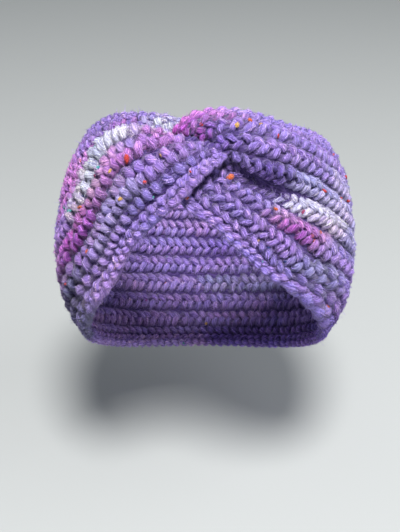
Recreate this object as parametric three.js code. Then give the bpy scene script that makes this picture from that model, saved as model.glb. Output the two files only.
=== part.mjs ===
// Crocheted ear warmer headband with a crossed twist at the front, in millimetres, +Z up.
// The strip runs from its left end round the left side, the back and the right side to its right end.
// Both ends are folded round each other at the front and sewn together inside the twist.
// The origin is the centre of the head opening. The loop is tipped so that the twist sits high.
import * as THREE from 'three';

// Size of the loop and of the strip
const LOOP_WIDTH = 172;
const LOOP_DEPTH = 196;
const LOOP_TILT = 47;
const BAND_WIDTH = 100;
const BAND_THICKNESS = 7.4;
const RIB_COUNT = 8;
const RIB_DEPTH = 1.6;
const SIDE_DIP = 12;
const CURVE_RADIUS_TOP = 112;
const CURVE_RADIUS_BOTTOM = 88;
const WALL_OFFSET = 4;

// Length of strip that each end uses for the fold, measured from the seam
const FOLD_LENGTH = 130;
const FOLD_END_ANGLE = 78;

// Sewn seam inside the twist
const SEAM_THICKNESS = 2;
const SEAM_GAP = 0.45;
const SEAM_INSET = 0.04;
const SEAM_END = 4.2;
const SEAM_SQUEEZE = 0.7;
const SQUEEZE_LENGTH = 45;
const SEAM_STITCHES = 6;

// Steps of the surface
const RIB_STEPS = 3;
const FOLD_STATIONS = 21;
const BACK_STATIONS = 27;
const SEAM_STATIONS = 37;

const DEG = Math.PI / 180;

// Lines that run along the strip, named by the place across it: 0 is the lower edge, 1 the upper edge
const PLACES = { lowerEdge: 0, lowerFace: 0.22, foldBelow: 0.44, fold: 0.5, foldAbove: 0.56, upperFace: 0.78, upperEdge: 1 };

// Left end. along: share of the fold length from the seam. angle: degrees from the front, left is negative.
// rise: share of the band width above the middle line. out: share of the thickness off the inner wall.
const LEFT_END = {
  lowerEdge: [
    { along: 0, angle: 6.5, rise: 0.03, out: 1 },
    { along: 0.11, angle: -0.5, rise: -0.055, out: 1.3 },
    { along: 0.23, angle: -8.5, rise: -0.16, out: 1.2 },
    { along: 0.37, angle: -18, rise: -0.24, out: 0.9 },
    { along: 0.54, angle: -29, rise: -0.325, out: 0.65 },
    { along: 0.77, angle: -43, rise: -0.44, out: 0.55 },
  ],
  lowerFace: [
    { along: 0, angle: -3, rise: 0.075, out: 0.95 },
    { along: 0.11, angle: -10.5, rise: 0.055, out: 1.5 },
    { along: 0.23, angle: -19, rise: 0.015, out: 1.6 },
    { along: 0.37, angle: -27, rise: -0.04, out: 1.35 },
    { along: 0.54, angle: -35, rise: -0.155, out: 0.95 },
    { along: 0.77, angle: -48, rise: -0.255, out: 0.65 },
  ],
  foldBelow: [
    { along: 0, angle: -12.5, rise: 0.14, out: 0.95 },
    { along: 0.11, angle: -19.5, rise: 0.175, out: 1.4 },
    { along: 0.23, angle: -28, rise: 0.2, out: 1.55 },
    { along: 0.37, angle: -36, rise: 0.175, out: 1.5 },
    { along: 0.54, angle: -44, rise: 0.045, out: 1.05 },
    { along: 0.77, angle: -60, rise: -0.05, out: 0.7 },
  ],
  fold: [
    { along: 0, angle: -15.5, rise: 0.155, out: 0.32 },
    { along: 0.11, angle: -22, rise: 0.212, out: 0.65 },
    { along: 0.23, angle: -30.5, rise: 0.245, out: 0.75 },
    { along: 0.37, angle: -39.5, rise: 0.225, out: 0.8 },
    { along: 0.54, angle: -47, rise: 0.105, out: 0.7 },
    { along: 0.77, angle: -61, rise: 0.01, out: 0.55 },
  ],
  foldAbove: [
    { along: 0, angle: -12.5, rise: 0.178, out: -0.22 },
    { along: 0.11, angle: -19.5, rise: 0.24, out: -0.1 },
    { along: 0.23, angle: -29.5, rise: 0.285, out: 0.05 },
    { along: 0.37, angle: -40, rise: 0.28, out: 0.25 },
    { along: 0.54, angle: -49, rise: 0.175, out: 0.5 },
    { along: 0.77, angle: -62, rise: 0.07, out: 0.55 },
  ],
  upperFace: [
    { along: 0, angle: -3, rise: 0.125, out: -0.25 },
    { along: 0.11, angle: -12, rise: 0.235, out: -0.15 },
    { along: 0.23, angle: -24, rise: 0.32, out: 0.05 },
    { along: 0.37, angle: -37.5, rise: 0.37, out: 0.2 },
    { along: 0.54, angle: -51, rise: 0.335, out: 0.45 },
    { along: 0.77, angle: -65, rise: 0.29, out: 0.55 },
  ],
  upperEdge: [
    { along: 0, angle: 9, rise: 0.065, out: -0.25 },
    { along: 0.11, angle: -1, rise: 0.195, out: -0.2 },
    { along: 0.23, angle: -14, rise: 0.31, out: -0.05 },
    { along: 0.37, angle: -28, rise: 0.39, out: 0.1 },
    { along: 0.54, angle: -43, rise: 0.465, out: 0.3 },
    { along: 0.77, angle: -61, rise: 0.505, out: 0.5 },
  ],
};

// Right end, with the same columns. Right of the front is positive.
const RIGHT_END = {
  lowerEdge: [
    { along: 0, angle: -9, rise: 0.105, out: -0.25 },
    { along: 0.11, angle: -9.5, rise: -0.04, out: -0.2 },
    { along: 0.23, angle: -6, rise: -0.2, out: 0 },
    { along: 0.37, angle: 4, rise: -0.29, out: 0.25 },
    { along: 0.54, angle: 15, rise: -0.39, out: 0.45 },
    { along: 0.77, angle: 31, rise: -0.47, out: 0.55 },
  ],
  lowerFace: [
    { along: 0, angle: -1, rise: 0.07, out: -0.25 },
    { along: 0.11, angle: 0, rise: -0.06, out: -0.15 },
    { along: 0.23, angle: 7, rise: -0.16, out: 0.1 },
    { along: 0.37, angle: 15, rise: -0.25, out: 0.45 },
    { along: 0.54, angle: 25, rise: -0.325, out: 0.6 },
    { along: 0.77, angle: 41, rise: -0.38, out: 0.6 },
  ],
  foldBelow: [
    { along: 0, angle: 8.5, rise: 0.015, out: -0.2 },
    { along: 0.11, angle: 14, rise: -0.054, out: -0.12 },
    { along: 0.23, angle: 21.5, rise: -0.096, out: 0 },
    { along: 0.37, angle: 30, rise: -0.12, out: 0.35 },
    { along: 0.54, angle: 42, rise: -0.125, out: 0.6 },
    { along: 0.77, angle: 60, rise: -0.095, out: 0.6 },
  ],
  fold: [
    { along: 0, angle: 11, rise: 0.03, out: 0.35 },
    { along: 0.11, angle: 17.1, rise: -0.024, out: 0.46 },
    { along: 0.23, angle: 24.2, rise: -0.056, out: 0.5 },
    { along: 0.37, angle: 32.7, rise: -0.06, out: 0.55 },
    { along: 0.54, angle: 43.5, rise: -0.05, out: 0.65 },
    { along: 0.77, angle: 60.5, rise: -0.035, out: 0.6 },
  ],
  foldAbove: [
    { along: 0, angle: 8.5, rise: 0.052, out: 0.95 },
    { along: 0.11, angle: 14, rise: 0.005, out: 1.38 },
    { along: 0.23, angle: 21.5, rise: -0.018, out: 1.4 },
    { along: 0.37, angle: 32, rise: -0.003, out: 1.12 },
    { along: 0.54, angle: 44, rise: 0.01, out: 0.8 },
    { along: 0.77, angle: 61, rise: 0.025, out: 0.6 },
  ],
  upperFace: [
    { along: 0, angle: 1, rise: 0.1, out: 0.95 },
    { along: 0.11, angle: 7, rise: 0.12, out: 1.6 },
    { along: 0.23, angle: 16, rise: 0.115, out: 1.8 },
    { along: 0.37, angle: 27, rise: 0.125, out: 1.6 },
    { along: 0.54, angle: 40, rise: 0.155, out: 1.2 },
    { along: 0.77, angle: 58, rise: 0.215, out: 0.8 },
  ],
  upperEdge: [
    { along: 0, angle: -10, rise: 0.155, out: 1 },
    { along: 0.11, angle: -4, rise: 0.235, out: 1.05 },
    { along: 0.23, angle: 6.5, rise: 0.285, out: 0.7 },
    { along: 0.37, angle: 20, rise: 0.31, out: 0.4 },
    { along: 0.54, angle: 35, rise: 0.335, out: 0.3 },
    { along: 0.77, angle: 54, rise: 0.42, out: 0.35 },
  ],
};

// A point of the loop. Angle runs round the head, rise along the loop's own axis, out away from the head.
function loopPoint(angle, rise) {
  const radius = rise > 0 ? CURVE_RADIUS_TOP : CURVE_RADIUS_BOTTOM;
  const share = Math.sqrt(Math.max(1 - (rise / radius) ** 2, 0.05));
  const x = (LOOP_WIDTH / 2 - WALL_OFFSET) * share * Math.sin(angle * DEG);
  const y = -(LOOP_DEPTH / 2 - WALL_OFFSET) * share * Math.cos(angle * DEG);
  const dip = SIDE_DIP * (1 - Math.cos(2 * angle * DEG)) / 2;
  return new THREE.Vector3(x, y, rise - dip);
}

function placeOnLoop(angle, rise, out) {
  const step = 0.05;
  const round = loopPoint(angle + step, rise).sub(loopPoint(angle - step, rise));
  const across = loopPoint(angle, rise + step).sub(loopPoint(angle, rise - step));
  const outward = round.cross(across).normalize();
  return loopPoint(angle, rise).addScaledVector(outward, out);
}

// Smooth curve through knots at uneven places
function smoothAt(knots, place, column) {
  let i = 0;
  while (i < knots.length - 2 && place > knots[i + 1].at) {
    i += 1;
  }
  const slope = (k) => {
    const a = knots[Math.max(k - 1, 0)];
    const b = knots[Math.min(k + 1, knots.length - 1)];
    return (b[column] - a[column]) / (b.at - a.at);
  };
  const width = knots[i + 1].at - knots[i].at;
  const t = (place - knots[i].at) / width;
  const start = knots[i][column] * (1 + 2 * t) * (1 - t) ** 2;
  const end = knots[i + 1][column] * t * t * (3 - 2 * t);
  const lean = slope(i) * t * (1 - t) ** 2 + slope(i + 1) * t * t * (t - 1);
  return start + end + lean * width;
}

// Knots of one line along the whole strip: left end, sides and back, right end
const BACK_LENGTH = (360 - 2 * FOLD_END_ANGLE) * DEG * (LOOP_WIDTH + LOOP_DEPTH) / 4;
const STRIP_LENGTH = 2 * FOLD_LENGTH + BACK_LENGTH;

function lineKnots(name) {
  const knots = [];
  for (const row of LEFT_END[name]) {
    knots.push({ at: row.along * FOLD_LENGTH, angle: row.angle, rise: row.rise * BAND_WIDTH, out: row.out * BAND_THICKNESS });
  }
  const backKnots = 8;
  for (let i = 0; i <= backKnots; i += 1) {
    const angle = -FOLD_END_ANGLE - (360 - 2 * FOLD_END_ANGLE) * i / backKnots;
    const at = FOLD_LENGTH + BACK_LENGTH * i / backKnots;
    knots.push({ at, angle, rise: (PLACES[name] - 0.5) * BAND_WIDTH, out: WALL_OFFSET });
  }
  for (const row of [...RIGHT_END[name]].reverse()) {
    const at = STRIP_LENGTH - row.along * FOLD_LENGTH;
    knots.push({ at, angle: row.angle - 360, rise: row.rise * BAND_WIDTH, out: row.out * BAND_THICKNESS });
  }
  return knots;
}

const LINES = Object.keys(PLACES).map((name) => ({ place: PLACES[name], knots: lineKnots(name) }));

// Middle of the cloth at a place along and across the strip
function middle(along, across) {
  const section = LINES.map((line) => ({
    at: line.place,
    angle: smoothAt(line.knots, along, 'angle'),
    rise: smoothAt(line.knots, along, 'rise'),
    out: smoothAt(line.knots, along, 'out'),
  }));
  const angle = smoothAt(section, across, 'angle');
  const rise = smoothAt(section, across, 'rise');
  const out = smoothAt(section, across, 'out');
  return placeOnLoop(angle, rise, out);
}

function clothNormal(along, across) {
  const step = 0.6;
  const a0 = Math.max(along - step, 0);
  const a1 = Math.min(along + step, STRIP_LENGTH);
  const c0 = Math.max(across - step / BAND_WIDTH, 0);
  const c1 = Math.min(across + step / BAND_WIDTH, 1);
  const alongStrip = middle(a1, across).sub(middle(a0, across));
  const acrossStrip = middle(along, c1).sub(middle(along, c0));
  return acrossStrip.cross(alongStrip).normalize();
}

// Half thickness across the strip: ribs run along the rows
function halfThickness(across) {
  const rib = Math.abs(Math.sin(Math.PI * across * RIB_COUNT));
  return BAND_THICKNESS / 2 - RIB_DEPTH * (1 - rib);
}

// The cloth is squeezed where it is sewn and ends in a rounded lip
function endShare(along) {
  const fromEnd = Math.min(along, STRIP_LENGTH - along);
  const lip = Math.min(fromEnd / (BAND_THICKNESS / 2), 1);
  const free = Math.min(fromEnd / SQUEEZE_LENGTH, 1);
  const squeeze = SEAM_SQUEEZE + (1 - SEAM_SQUEEZE) * free * free * (3 - 2 * free);
  return squeeze * (0.5 + 0.5 * Math.sqrt(1 - (1 - lip) ** 2));
}

function section(along) {
  const outer = [];
  const inner = [];
  const count = RIB_COUNT * RIB_STEPS;
  for (let k = 0; k <= count; k += 1) {
    const across = k / count;
    const half = halfThickness(across) * endShare(along);
    const centre = middle(along, across);
    const normal = clothNormal(along, across);
    outer.push(centre.clone().addScaledVector(normal, half));
    inner.push(centre.clone().addScaledVector(normal, -half));
  }
  const roundOff = halfThickness(0) * endShare(along);
  const step = 0.01;
  const lower = middle(along, 0).sub(middle(along, step)).setLength(roundOff).add(middle(along, 0));
  const upper = middle(along, 1).sub(middle(along, 1 - step)).setLength(roundOff).add(middle(along, 1));
  return { outer, inner, ring: [...outer, upper, ...inner.reverse(), lower] };
}

function stripStations() {
  const stations = [];
  for (let i = 0; i < FOLD_STATIONS; i += 1) {
    stations.push(FOLD_LENGTH * (i / FOLD_STATIONS) ** 1.3);
  }
  for (let i = 0; i <= BACK_STATIONS; i += 1) {
    stations.push(FOLD_LENGTH + BACK_LENGTH * i / BACK_STATIONS);
  }
  for (let i = FOLD_STATIONS - 1; i >= 0; i -= 1) {
    stations.push(STRIP_LENGTH - FOLD_LENGTH * (i / FOLD_STATIONS) ** 1.3);
  }
  return stations;
}

// Skin through closed rings of points, with both ends closed straight across from face to face
function skin(rings) {
  const positions = [];
  const index = [];
  const around = rings[0].length;
  for (const ring of rings) {
    for (const p of ring) {
      positions.push(p.x, p.y, p.z);
    }
  }
  for (let r = 0; r < rings.length - 1; r += 1) {
    for (let k = 0; k < around; k += 1) {
      const a = r * around + k;
      const b = r * around + (k + 1) % around;
      index.push(a, b, a + around, b, b + around, a + around);
    }
  }
  const last = (rings.length - 1) * around;
  for (let k = 0; k < around / 2 - 1; k += 1) {
    const a = k;
    const b = k + 1;
    const c = around - 2 - k;
    const d = (around - 1 - k) % around;
    index.push(b, a, c, c, a, d);
    index.push(last + a, last + b, last + c, last + a, last + c, last + d);
  }
  const geometry = new THREE.BufferGeometry();
  geometry.setAttribute('position', new THREE.Float32BufferAttribute(positions, 3));
  geometry.setIndex(index);
  geometry.computeVertexNormals();
  return geometry;
}

// Yarn seam inside the twist. Its section is a cross whose arms reach the four ends of cloth.
function seamRings() {
  const foldShare = PLACES.foldBelow;
  const armAt = (along, across, thickness) => {
    const inward = along === 0 ? 1 : -1;
    const tip = middle(along, across);
    const endLine = middle(along, across + 0.01).sub(middle(along, across - 0.01)).normalize();
    const way = tip.clone().sub(middle(along + inward, across));
    way.addScaledVector(endLine, -way.dot(endLine)).setLength(SEAM_GAP);
    return { tip: tip.add(way), thick: clothNormal(along, across).multiplyScalar(thickness) };
  };
  const rings = [];
  for (let i = 0; i < SEAM_STATIONS; i += 1) {
    const share = i / (SEAM_STATIONS - 1);
    const across = foldShare * (SEAM_INSET + (1 - 4 * SEAM_INSET) * share);
    const arms = [
      armAt(0, across, SEAM_THICKNESS),
      armAt(STRIP_LENGTH, 1 - foldShare + across, -SEAM_THICKNESS),
      armAt(0, 1 - across, -SEAM_THICKNESS),
      armAt(STRIP_LENGTH, foldShare - across, SEAM_THICKNESS),
    ];
    const centre = new THREE.Vector3();
    arms.forEach((arm) => centre.addScaledVector(arm.tip, 1 / arms.length));
    const stitch = 0.4 - 0.2 * Math.cos(2 * Math.PI * SEAM_STITCHES * share);
    const ring = [];
    arms.forEach((arm, k) => {
      const next = arms[(k + 1) % arms.length];
      ring.push(arm.tip.clone().addScaledVector(arm.thick, -0.5));
      ring.push(arm.tip.clone().addScaledVector(arm.thick, 0.5));
      ring.push(arm.tip.clone().lerp(next.tip, 0.5).lerp(centre, 1 - stitch));
    });
    rings.push(ring);
  }
  return [...seamEnd(rings[0], rings[1]).reverse(), ...rings, ...seamEnd(rings.at(-1), rings.at(-2))];
}

// Rounded end of the seam that fills the pocket of the fold
function seamEnd(last, before) {
  const mean = (ring) => ring.reduce((sum, p) => sum.addScaledVector(p, 1 / ring.length), new THREE.Vector3());
  const centre = mean(last);
  const way = centre.clone().sub(mean(before)).normalize();
  return [[0.5, 0.8], [1, 0.3]].map(([reach, size]) => last.map((p) => (
    centre.clone().lerp(p, size).addScaledVector(way, reach * SEAM_END)
  )));
}

function named(name, geometry, colour) {
  const material = new THREE.MeshStandardMaterial({ color: colour, roughness: 0.95 });
  material.name = `${name}_yarn`;
  const mesh = new THREE.Mesh(geometry, material);
  mesh.name = name;
  return mesh;
}

const group = new THREE.Group();
group.name = 'ear_warmer_headband';
group.add(named('band', skin(stripStations().map((along) => section(along).ring)), 0x9a86cc));
group.add(named('end_seam', skin(seamRings()), 0x8a76be));
for (const mesh of group.children) {
  mesh.geometry.rotateX(-LOOP_TILT * DEG);
}

export default group;
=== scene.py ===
"""Crocheted ear warmer headband with a crossed twist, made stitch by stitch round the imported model."""
import math

import bpy
import numpy as np
from mathutils import Matrix, Vector
from mathutils.bvhtree import BVHTree


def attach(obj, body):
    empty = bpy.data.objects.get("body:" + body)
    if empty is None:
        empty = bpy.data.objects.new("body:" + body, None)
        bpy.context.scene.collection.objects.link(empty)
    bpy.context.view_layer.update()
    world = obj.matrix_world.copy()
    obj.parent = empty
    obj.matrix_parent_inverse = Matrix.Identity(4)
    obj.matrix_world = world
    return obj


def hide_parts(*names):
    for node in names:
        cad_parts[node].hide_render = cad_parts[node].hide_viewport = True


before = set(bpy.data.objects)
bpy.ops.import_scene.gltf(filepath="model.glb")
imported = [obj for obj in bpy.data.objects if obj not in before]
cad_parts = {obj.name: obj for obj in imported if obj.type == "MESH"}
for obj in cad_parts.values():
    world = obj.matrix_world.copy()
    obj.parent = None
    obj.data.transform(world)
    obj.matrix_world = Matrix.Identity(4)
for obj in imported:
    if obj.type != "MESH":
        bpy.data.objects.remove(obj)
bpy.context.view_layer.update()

MM = 0.001
SEED = 7

# Picture frame and camera, as the photograph has them
PICTURE_WIDTH = 400
PICTURE_HEIGHT = 532
FOCAL_PIXELS = 850
CAMERA_PLACE = (0.0, -0.4678, 0.2383)
CAMERA_DOWN = 29.49
CAMERA_TURN = 0.371
SENSOR = 36.0

# Sizes of the strip, in millimetres, the same as the model's own
LOOP_WIDTH = 172
LOOP_DEPTH = 196
LOOP_TILT = 47
BAND_WIDTH = 100
BAND_THICKNESS = 7.4
RIB_COUNT = 8
SIDE_DIP = 12
CURVE_RADIUS_TOP = 112
CURVE_RADIUS_BOTTOM = 88
WALL_OFFSET = 4
FOLD_LENGTH = 130
FOLD_END_ANGLE = 78
BACK_LENGTH = math.radians(360 - 2 * FOLD_END_ANGLE) * (LOOP_WIDTH + LOOP_DEPTH) / 4
STRIP_LENGTH = 2 * FOLD_LENGTH + BACK_LENGTH
SEAM_SQUEEZE = 0.7
SQUEEZE_LENGTH = 45

# Places across the strip of the seven lines that shape it: 0 is the lower edge, 1 the upper edge
PLACES = np.array([0, 0.22, 0.44, 0.5, 0.56, 0.78, 1])
ALONG = (0, 0.11, 0.23, 0.37, 0.54, 0.77)

# For each line, at each share of the fold length in ALONG: degrees from the front, rise as a share of
# the band width, and distance off the inner wall as a share of the thickness
LEFT_END = (
    ((6.5, 0.03, 1), (-0.5, -0.055, 1.3), (-8.5, -0.16, 1.2),
     (-18, -0.24, 0.9), (-29, -0.325, 0.65), (-43, -0.44, 0.55)),
    ((-3, 0.075, 0.95), (-10.5, 0.055, 1.5), (-19, 0.015, 1.6),
     (-27, -0.04, 1.35), (-35, -0.155, 0.95), (-48, -0.255, 0.65)),
    ((-12.5, 0.14, 0.95), (-19.5, 0.175, 1.4), (-28, 0.2, 1.55),
     (-36, 0.175, 1.5), (-44, 0.045, 1.05), (-60, -0.05, 0.7)),
    ((-15.5, 0.155, 0.32), (-22, 0.212, 0.65), (-30.5, 0.245, 0.75),
     (-39.5, 0.225, 0.8), (-47, 0.105, 0.7), (-61, 0.01, 0.55)),
    ((-12.5, 0.178, -0.22), (-19.5, 0.24, -0.1), (-29.5, 0.285, 0.05),
     (-40, 0.28, 0.25), (-49, 0.175, 0.5), (-62, 0.07, 0.55)),
    ((-3, 0.125, -0.25), (-12, 0.235, -0.15), (-24, 0.32, 0.05),
     (-37.5, 0.37, 0.2), (-51, 0.335, 0.45), (-65, 0.29, 0.55)),
    ((9, 0.065, -0.25), (-1, 0.195, -0.2), (-14, 0.31, -0.05),
     (-28, 0.39, 0.1), (-43, 0.465, 0.3), (-61, 0.505, 0.5)),
)
RIGHT_END = (
    ((-9, 0.105, -0.25), (-9.5, -0.04, -0.2), (-6, -0.2, 0),
     (4, -0.29, 0.25), (15, -0.39, 0.45), (31, -0.47, 0.55)),
    ((-1, 0.07, -0.25), (0, -0.06, -0.15), (7, -0.16, 0.1),
     (15, -0.25, 0.45), (25, -0.325, 0.6), (41, -0.38, 0.6)),
    ((8.5, 0.015, -0.2), (14, -0.054, -0.12), (21.5, -0.096, 0),
     (30, -0.12, 0.35), (42, -0.125, 0.6), (60, -0.095, 0.6)),
    ((11, 0.03, 0.35), (17.1, -0.024, 0.46), (24.2, -0.056, 0.5),
     (32.7, -0.06, 0.55), (43.5, -0.05, 0.65), (60.5, -0.035, 0.6)),
    ((8.5, 0.052, 0.95), (14, 0.005, 1.38), (21.5, -0.018, 1.4),
     (32, -0.003, 1.12), (44, 0.01, 0.8), (61, 0.025, 0.6)),
    ((1, 0.1, 0.95), (7, 0.12, 1.6), (16, 0.115, 1.8),
     (27, 0.125, 1.6), (40, 0.155, 1.2), (58, 0.215, 0.8)),
    ((-10, 0.155, 1), (-4, 0.235, 1.05), (6.5, 0.285, 0.7),
     (20, 0.31, 0.4), (35, 0.335, 0.3), (54, 0.42, 0.35)),
)
BACK_KNOTS = 8

# Steps for slopes on the loop (degrees and millimetres) and on the cloth (millimetres), and the least
# share of its size that the loop narrows to
LOOP_STEP = 0.05
CLOTH_STEP = 0.6
LEAST_LOOP = 0.05


def line_knots(left, right, place):
    """Knots of one line along the whole strip: places in millimetres, and angle, rise and out at each."""
    at = [share * FOLD_LENGTH for share in ALONG]
    rows = [(angle, rise * BAND_WIDTH, out * BAND_THICKNESS) for angle, rise, out in left]
    for i in range(BACK_KNOTS + 1):
        share = i / BACK_KNOTS
        angle = -FOLD_END_ANGLE - (360 - 2 * FOLD_END_ANGLE) * share
        at.append(FOLD_LENGTH + BACK_LENGTH * share)
        rows.append((angle, (place - 0.5) * BAND_WIDTH, WALL_OFFSET))
    for share, (angle, rise, out) in zip(reversed(ALONG), reversed(right)):
        at.append(STRIP_LENGTH - share * FOLD_LENGTH)
        rows.append((angle - 360, rise * BAND_WIDTH, out * BAND_THICKNESS))
    return np.array(at), np.array(rows)


LINES = [line_knots(*line) for line in zip(LEFT_END, RIGHT_END, PLACES)]


def knot_slopes(at, values):
    """Slope at each knot from its two neighbours. Knots run along the first axis of values."""
    before = np.concatenate([[0], np.arange(len(at) - 1)])
    after = np.concatenate([np.arange(1, len(at)), [len(at) - 1]])
    gap = (at[after] - at[before]).reshape((-1,) + (1,) * (values.ndim - 1))
    return (values[after] - values[before]) / gap


def hermite(width, t, start, end, slope_start, slope_end):
    """Value at share t of a step of some width, from the values and slopes at its ends."""
    value = start * (1 + 2 * t) * (1 - t) ** 2 + end * t * t * (3 - 2 * t)
    return value + width * (slope_start * t * (1 - t) ** 2 + slope_end * t * t * (t - 1))


def loop_point(angle, rise):
    """Points of the loop in millimetres, before the tilt."""
    radius = np.where(rise > 0, CURVE_RADIUS_TOP, CURVE_RADIUS_BOTTOM)
    share = np.sqrt(np.maximum(1 - (rise / radius) ** 2, LEAST_LOOP))
    a = np.radians(angle)
    x = (LOOP_WIDTH / 2 - WALL_OFFSET) * share * np.sin(a)
    y = -(LOOP_DEPTH / 2 - WALL_OFFSET) * share * np.cos(a)
    z = rise - SIDE_DIP * (1 - np.cos(2 * a)) / 2
    return np.stack([x, y, z], -1)


def unit(v):
    """Vectors scaled to length 1."""
    return v / np.maximum(np.linalg.norm(v, axis=-1, keepdims=True), 1e-9)


TILT = np.array(Matrix.Rotation(math.radians(-LOOP_TILT), 3, "X"))


def middle(along, across):
    """Middle of the cloth in millimetres, tilted as the model is. along and across are arrays."""
    columns = []
    for at, rows in LINES:
        slopes = knot_slopes(at, rows)
        i = np.clip(np.searchsorted(at, along, side="left") - 1, 0, len(at) - 2)
        width = (at[i + 1] - at[i])[:, None]
        t = ((along - at[i]) / (at[i + 1] - at[i]))[:, None]
        columns.append(hermite(width, t, rows[i], rows[i + 1], slopes[i], slopes[i + 1]))
    section = np.stack(columns)
    slopes = knot_slopes(PLACES, section)
    i = np.clip(np.searchsorted(PLACES, across, side="left") - 1, 0, len(PLACES) - 2)
    n = np.arange(len(along))
    width = (PLACES[i + 1] - PLACES[i])[:, None]
    t = ((across - PLACES[i]) / (PLACES[i + 1] - PLACES[i]))[:, None]
    angle, rise, out = hermite(
        width, t, section[i, n], section[i + 1, n], slopes[i, n], slopes[i + 1, n]
    ).T
    round_loop = loop_point(angle + LOOP_STEP, rise) - loop_point(angle - LOOP_STEP, rise)
    up_loop = loop_point(angle, rise + LOOP_STEP) - loop_point(angle, rise - LOOP_STEP)
    point = loop_point(angle, rise) + unit(np.cross(round_loop, up_loop)) * out[:, None]
    return point @ TILT.T


def cloth(along, across):
    """Middle point, way along, way across and outward way of the cloth. The first two ways have the
    cloth's stretch as their length."""
    step, share = CLOTH_STEP, CLOTH_STEP / BAND_WIDTH
    a = np.clip(along, 0, STRIP_LENGTH)
    c = np.clip(across, 0, 1)
    a0, a1 = np.maximum(a - step, 0), np.minimum(a + step, STRIP_LENGTH)
    c0, c1 = np.maximum(c - share, 0), np.minimum(c + share, 1)
    way_along = (middle(a1, c) - middle(a0, c)) / (a1 - a0)[:, None]
    way_across = (middle(a, c1) - middle(a, c0)) / ((c1 - c0) * BAND_WIDTH)[:, None]
    point = middle(a, c)
    point = point + way_along * (along - a)[:, None] + way_across * ((across - c) * BAND_WIDTH)[:, None]
    outward = unit(np.cross(way_across, way_along))
    return point, way_along, way_across, outward


def end_share(along):
    """Share of the thickness that is left, because the cloth is squeezed where it is sewn."""
    free = np.clip(np.minimum(along, STRIP_LENGTH - along) / SQUEEZE_LENGTH, 0, 1)
    return SEAM_SQUEEZE + (1 - SEAM_SQUEEZE) * free * free * (3 - 2 * free)


# How evenly the ribs share out the width of the cloth where it is pulled askew, from 0 to 1, and the
# number of places along and across at which the shares are worked out
EVEN_RIBS = 0.85
EVEN_ALONG = 140
EVEN_ACROSS = 61
EVEN_SMOOTH = 7


def half_shares(reach):
    """How far along its reach each place is, as shares of a half of the cloth."""
    return (reach - reach[0]) / (reach[-1] - reach[0]) * 0.5


def even_table():
    """Place in the cloth of each even step across it, at places along the strip. The middle stays put."""
    along = np.linspace(0, STRIP_LENGTH, EVEN_ALONG)
    across = np.linspace(0, 1, EVEN_ACROSS)
    a, c = [v.ravel() for v in np.meshgrid(along, across, indexing="ij")]
    _, way_along, way_across, _ = cloth(a, c)
    width = np.linalg.norm(np.cross(way_across, way_along), axis=1) / np.linalg.norm(way_along, axis=1)
    width = width.reshape(EVEN_ALONG, EVEN_ACROSS)
    around = np.pad(width, ((EVEN_SMOOTH, EVEN_SMOOTH), (0, 0)), mode="edge")
    width = np.mean([around[i:i + EVEN_ALONG] for i in range(2 * EVEN_SMOOTH + 1)], axis=0)
    half = EVEN_ACROSS // 2
    table = []
    for row in width:
        reach = np.concatenate([[0], np.cumsum((row[1:] + row[:-1]) / 2)])
        low, high = half_shares(reach[:half + 1]), 0.5 + half_shares(reach[half:])
        even = np.interp(across, np.concatenate([low, high[1:]]), across)
        table.append(across + (even - across) * EVEN_RIBS)
    return np.array(table)


EVEN_TABLE = even_table()


def placed(along, across):
    """Place in the cloth of an even place across it, and how much wider the cloth's own step is."""
    inside = np.clip(across, 0, 1)
    x = np.clip(along / STRIP_LENGTH, 0, 1) * (EVEN_ALONG - 1)
    y = inside * (EVEN_ACROSS - 1)
    i = np.minimum(x.astype(int), EVEN_ALONG - 2)
    j = np.minimum(y.astype(int), EVEN_ACROSS - 2)
    s, t = x - i, y - j
    below = EVEN_TABLE[i, j] * (1 - s) + EVEN_TABLE[i + 1, j] * s
    above = EVEN_TABLE[i, j + 1] * (1 - s) + EVEN_TABLE[i + 1, j + 1] * s
    return below * (1 - t) + above * t + across - inside, (above - below) * (EVEN_ACROSS - 1)


# Rows and cords, in millimetres. A rib is two rows of stitch legs that lean against each other, and each
# edge is finished with a cord of two strands. The outer ribs reach a little over the edge of the cloth,
# and the rows run a little past its ends.
ROW_COUNT = 2 * RIB_COUNT
EDGE_REACH = 2.4
RIB_PITCH = (BAND_WIDTH + 2 * EDGE_REACH) / RIB_COUNT
ROW_OFFSET = 2.8
CORD_INSET = 0.6
CORD_OFFSET = 1.8
EDGE_ROW_SHIFT = 1.3
END_REST = -1.0

# Stitches: their number, the stagger of one row against the next as a share of a stitch, and the most
# that they are moved to stand square to their row
STITCH_COUNT = 88
STITCH_LENGTH = STRIP_LENGTH / STITCH_COUNT
STAGGER = 0.5
STAGGER_STRAY = 0.1
MOST_ASKEW = 1.2

# Yarn: points along a stitch and round the yarn, plies with the depth of their grooves and their twist,
# and how the wool's pattern runs along a strand and sets the strands apart
STEPS_PER_STITCH = 10
YARN_SIDES = 12
FILLER_STEPS = 3
FILLER_SIDES = 8
YARN_PLIES = 4
PLY_GROOVE = 0.2
PLY_TWIST = 0.3
RUN_SCALE = 0.16
STRAND_GAP = 50
FILLER_PLACE = 40

# Shape of a row's yarn: radius, swing to each side of the row's line, depth out of the cloth to each
# face, lift towards the middle of the rib, how uneven it is, and how much fuller it is at the left end,
# where the cloth is pulled open
LEG = {"radius": 2.05, "swing": 2.2, "depth": 2.3, "lift": 0.8, "uneven": 1.15, "full": 1.42}
EDGE_LEG = {"radius": 1.95, "swing": 1.8, "depth": 2.1, "lift": 0.6, "uneven": 0.8, "full": 1.1}
CORD = {"radius": 2.1, "swing": 0.5, "depth": 1.0, "lift": 0.0, "uneven": 0.2, "full": 1.15}

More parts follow.
